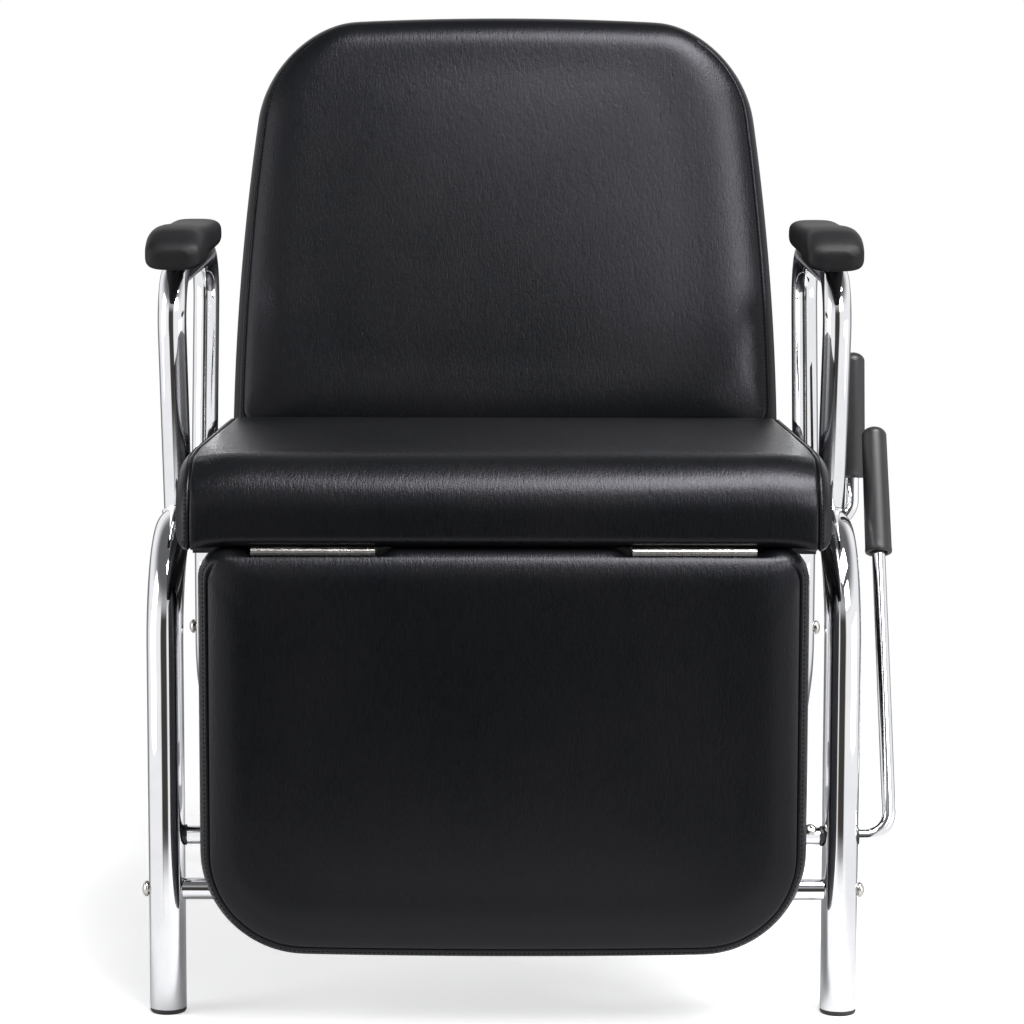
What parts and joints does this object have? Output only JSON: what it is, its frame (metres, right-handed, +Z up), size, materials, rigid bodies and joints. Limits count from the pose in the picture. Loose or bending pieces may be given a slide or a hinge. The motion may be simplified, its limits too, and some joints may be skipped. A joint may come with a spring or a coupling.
{
  "type": "shampoo chair",
  "caption": "Padded salon shampoo chair on a bent tube frame, with a tilting back, a hinged legrest, loop arms with moulded pads and hand levers on the sitter's left side.",
  "frame": {"origin": "on the floor, under the middle of the chair's outline", "axes": "+Z up, the sitter faces -Y, +X towards the sitter's left, where the levers are"},
  "size_m": [0.6672, 0.7042, 0.8812],
  "materials": {
    "chrome_tube": "mirror chrome plate on steel tube and rod",
    "nickel": "nickel-plated steel",
    "zinc_plate": "zinc-plated steel plate",
    "black_steel": "black enamel",
    "black_vinyl": "black upholstery vinyl over foam, satin",
    "black_urethane": "self-skinned black urethane, matte",
    "black_rubber": "black rubber, satin",
    "plywood": "plain plywood",
    "black_nylon": "moulded black nylon"
  },
  "bodies": {
    "frame": {"side_frame_right": "chrome_tube", "side_frame_left": "chrome_tube", "foot_cap_front_right": "black_rubber", "foot_cap_front_left": "black_rubber", "foot_cap_rear_right": "black_rubber", "foot_cap_rear_left": "black_rubber", "cross_bar_front": "chrome_tube", "cross_bar_rear": "chrome_tube", "cross_bolt_front_right": "nickel", "cross_bolt_front_left": "nickel", "cross_bolt_rear_right": "nickel", "cross_bolt_rear_left": "nickel", "arm_tube_right": "chrome_tube", "arm_tube_left": "chrome_tube", "arm_pad_right": "black_urethane", "arm_pad_left": "black_urethane", "seat_rail_right": "black_steel", "seat_rail_left": "black_steel", "seat_cross_rail_front": "black_steel", "seat_cross_rail_rear": "black_steel", "seat_board": "plywood", "seat_cushion": "black_vinyl", "hinge_leaf_seat_right": "nickel", "hinge_leaf_seat_left": "nickel", "hinge_pin_right": "nickel", "hinge_pin_left": "nickel", "lever_bush_right": "black_nylon", "lever_bush_left": "black_nylon", "shaft_lug_right": "zinc_plate", "shaft_lug_left": "zinc_plate", "lock_plate": "zinc_plate", "lock_head": "black_steel"},
    "back": {"back_board": "plywood", "back_cushion": "black_vinyl", "back_hinge_plate_right": "zinc_plate", "back_hinge_plate_left": "zinc_plate", "back_lock_arm": "zinc_plate", "back_pivot_bolt_right": "nickel", "back_pivot_bolt_left": "nickel"},
    "legrest": {"legrest_board": "plywood", "legrest_cushion": "black_vinyl", "hinge_leaf_legrest_right": "nickel", "hinge_leaf_legrest_left": "nickel", "legrest_bracket_right": "zinc_plate", "legrest_bracket_left": "zinc_plate"},
    "legrest_lever": {"legrest_lever": "chrome_tube", "legrest_lever_grip": "black_rubber", "legrest_lever_sleeve": "chrome_tube", "legrest_sleeve_screw": "nickel", "legrest_crank_right": "zinc_plate", "legrest_crank_left": "zinc_plate"},
    "legrest_link": {"legrest_link_right": "zinc_plate", "legrest_link_left": "zinc_plate"},
    "recline_lever": {"recline_lever": "chrome_tube", "recline_lever_grip": "black_rubber", "release_finger": "zinc_plate"},
    "lock_rod": {"lock_rod": "chrome_tube"},
    "lock_plunger": {"lock_plunger": "nickel"}
  },
  "joints": [
    {"name": "back_tilt", "type": "hinge", "parent": "frame", "child": "back", "pos_m": [-0.01661, 0.18589, 0.41135], "axis": [-1, 0, 0], "range_deg": [0, 40]},
    {"name": "legrest_swing", "type": "hinge", "parent": "frame", "child": "legrest", "pos_m": [-0.01661, -0.34011, 0.4169], "axis": [-1, 0, 0], "range_deg": [0, 75]},
    {"name": "legrest_lever_turn", "type": "hinge", "parent": "frame", "child": "legrest_lever", "pos_m": [-0.01661, -0.26411, 0.158], "axis": [-1, 0, 0], "range_deg": [0, 41]},
    {"name": "legrest_link_turn", "type": "hinge", "parent": "legrest_lever", "child": "legrest_link", "pos_m": [-0.01661, -0.18811, 0.158], "axis": [1, 0, 0], "range_deg": [0, 58]},
    {"name": "recline_lever_turn", "type": "hinge", "parent": "frame", "child": "recline_lever", "pos_m": [-0.01661, 0.08589, 0.393], "axis": [-1, 0, 0], "range_deg": [0, 15], "stiffness_Nm_per_rad": 6, "springref_deg": -8.59},
    {"name": "lock_rod_slide", "type": "slide", "parent": "frame", "child": "lock_rod", "axis": [0, -1, 0], "range_m": [0, 0.0452]},
    {"name": "lock_plunger_slide", "type": "slide", "parent": "frame", "child": "lock_plunger", "axis": [0, 0, -1], "range_m": [0, 0.0075]}
  ],
  "couplings": [
    {"joint": "legrest_lever_turn", "follows": "legrest_swing", "ratio": 0.54},
    {"joint": "legrest_link_turn", "follows": "legrest_swing", "ratio": 0.76},
    {"joint": "lock_rod_slide", "follows": "back_tilt", "m_per_rad": 0.06368},
    {"joint": "lock_plunger_slide", "follows": "recline_lever_turn", "m_per_rad": 0.0273}
  ]
}
